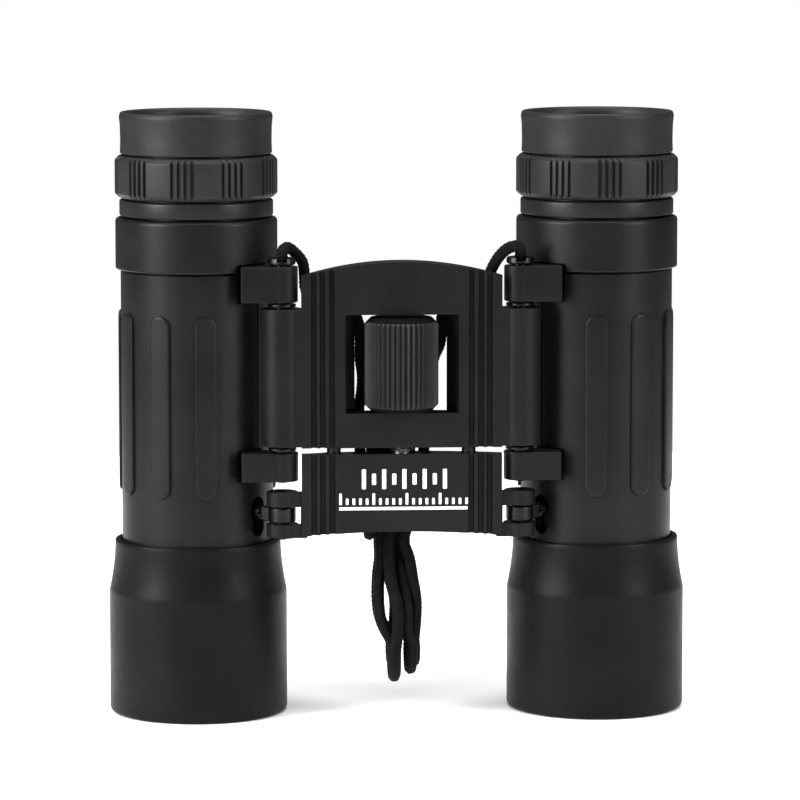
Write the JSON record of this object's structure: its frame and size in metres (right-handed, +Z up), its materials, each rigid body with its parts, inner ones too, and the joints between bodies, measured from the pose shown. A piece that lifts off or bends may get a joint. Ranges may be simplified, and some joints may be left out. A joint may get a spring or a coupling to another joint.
{
  "type": "binoculars",
  "caption": "Pocket roof-prism binoculars with two hinges, a focus wheel that drives a focusing slide, barrels that fold together, and a neck cord tied in a hank.",
  "frame": {"origin": "middle of the box's underside, on the surface that the objective bells stand on; the cord isn't counted", "axes": "+Z up along both barrels towards the eyepieces, -Y towards the side with the focus wheel, +X towards the barrel with the fixed eyepiece"},
  "size_m": [0.104, 0.0349, 0.1082],
  "materials": {
    "armour": "satin",
    "frame": "satin black paint",
    "inner_frame": "matte",
    "cell": "black anodised",
    "grip_rubber": "matte",
    "lens_glass": "coated",
    "prism_glass": "polished",
    "steel": "satin",
    "blackened_steel": "blackened",
    "cord": "braided",
    "tie": "matte"
  },
  "bodies": {
    "bridge": {"bridge": "frame", "left_hinge_pin": "blackened_steel", "left_upper_washer": "blackened_steel", "left_lower_washer": "blackened_steel", "right_hinge_pin": "blackened_steel", "right_upper_washer": "blackened_steel", "right_lower_washer": "blackened_steel", "cord_lead_left": "cord", "cord_lead_right": "cord", "cord_hank": "cord", "cord_tie": "tie"},
    "wheel": {"focus_wheel": "grip_rubber"},
    "slide": {"focus_slide": "frame", "focus_screw": "steel", "left_guide_rod": "blackened_steel", "left_clevis_pin": "blackened_steel", "right_guide_rod": "blackened_steel", "right_clevis_pin": "blackened_steel"},
    "left_barrel": {"left_chassis": "frame", "left_cover": "armour", "left_bell": "armour", "left_prism_cage": "inner_frame", "left_half_penta_prism": "prism_glass", "left_roof_prism": "prism_glass", "left_collar": "armour"},
    "left_objective": {"left_objective_cell": "cell", "left_objective_lens": "lens_glass", "left_objective_retainer": "cell", "left_focus_arm": "blackened_steel", "left_stud_screw": "blackened_steel"},
    "right_barrel": {"right_chassis": "frame", "right_cover": "armour", "right_bell": "armour", "right_prism_cage": "inner_frame", "right_half_penta_prism": "prism_glass", "right_roof_prism": "prism_glass", "right_collar": "armour", "right_ocular_tube": "cell", "right_field_lens": "lens_glass", "right_eye_lens": "lens_glass", "right_grip_ring": "grip_rubber", "right_eyecup": "grip_rubber"},
    "right_objective": {"right_objective_cell": "cell", "right_objective_lens": "lens_glass", "right_objective_retainer": "cell", "right_focus_arm": "blackened_steel", "right_stud_screw": "blackened_steel"},
    "left_ocular": {"left_ocular_tube": "cell", "left_field_lens": "lens_glass", "left_eye_lens": "lens_glass"},
    "dioptre_ring": {"left_grip_ring": "grip_rubber", "left_eyecup": "grip_rubber"}
  },
  "joints": [
    {"name": "left_fold", "type": "hinge", "parent": "bridge", "child": "left_barrel", "pos_m": [-0.02115, -0.0104, 0.0618], "axis": [0, 0, 1], "range_deg": [-60, 0]},
    {"name": "right_fold", "type": "hinge", "parent": "bridge", "child": "right_barrel", "pos_m": [0.02115, -0.0104, 0.0618], "axis": [0, 0, 1], "range_deg": [0, 60]},
    {"name": "focus_turn", "type": "hinge", "parent": "bridge", "child": "wheel", "pos_m": [0, -0.0109, 0.06405], "axis": [0, 0, 1], "range_deg": [-420, 120]},
    {"name": "focus_travel", "type": "slide", "parent": "bridge", "child": "slide", "axis": [0, 0, 1], "range_m": [-0.0028, 0.0008]},
    {"name": "left_objective_travel", "type": "slide", "parent": "left_barrel", "child": "left_objective", "axis": [0, 0, 1], "range_m": [-0.0028, 0.0008]},
    {"name": "right_objective_travel", "type": "slide", "parent": "right_barrel", "child": "right_objective", "axis": [0, 0, 1], "range_m": [-0.0028, 0.0008]},
    {"name": "dioptre_travel", "type": "slide", "parent": "left_barrel", "child": "left_ocular", "axis": [0, 0, 1], "range_m": [-0.00035, 0.00035]},
    {"name": "dioptre_turn", "type": "hinge", "parent": "left_ocular", "child": "dioptre_ring", "pos_m": [-0.036, 0.0014, 0.0965], "axis": [0, 0, 1], "range_deg": [-100.3, 100.3]}
  ],
  "couplings": [
    {"joint": "focus_turn", "follows": "focus_travel", "rad_per_m": 2618},
    {"joint": "left_objective_travel", "follows": "focus_travel", "ratio": 1},
    {"joint": "right_objective_travel", "follows": "focus_travel", "ratio": 1},
    {"joint": "dioptre_turn", "follows": "dioptre_travel", "rad_per_m": 5000}
  ]
}
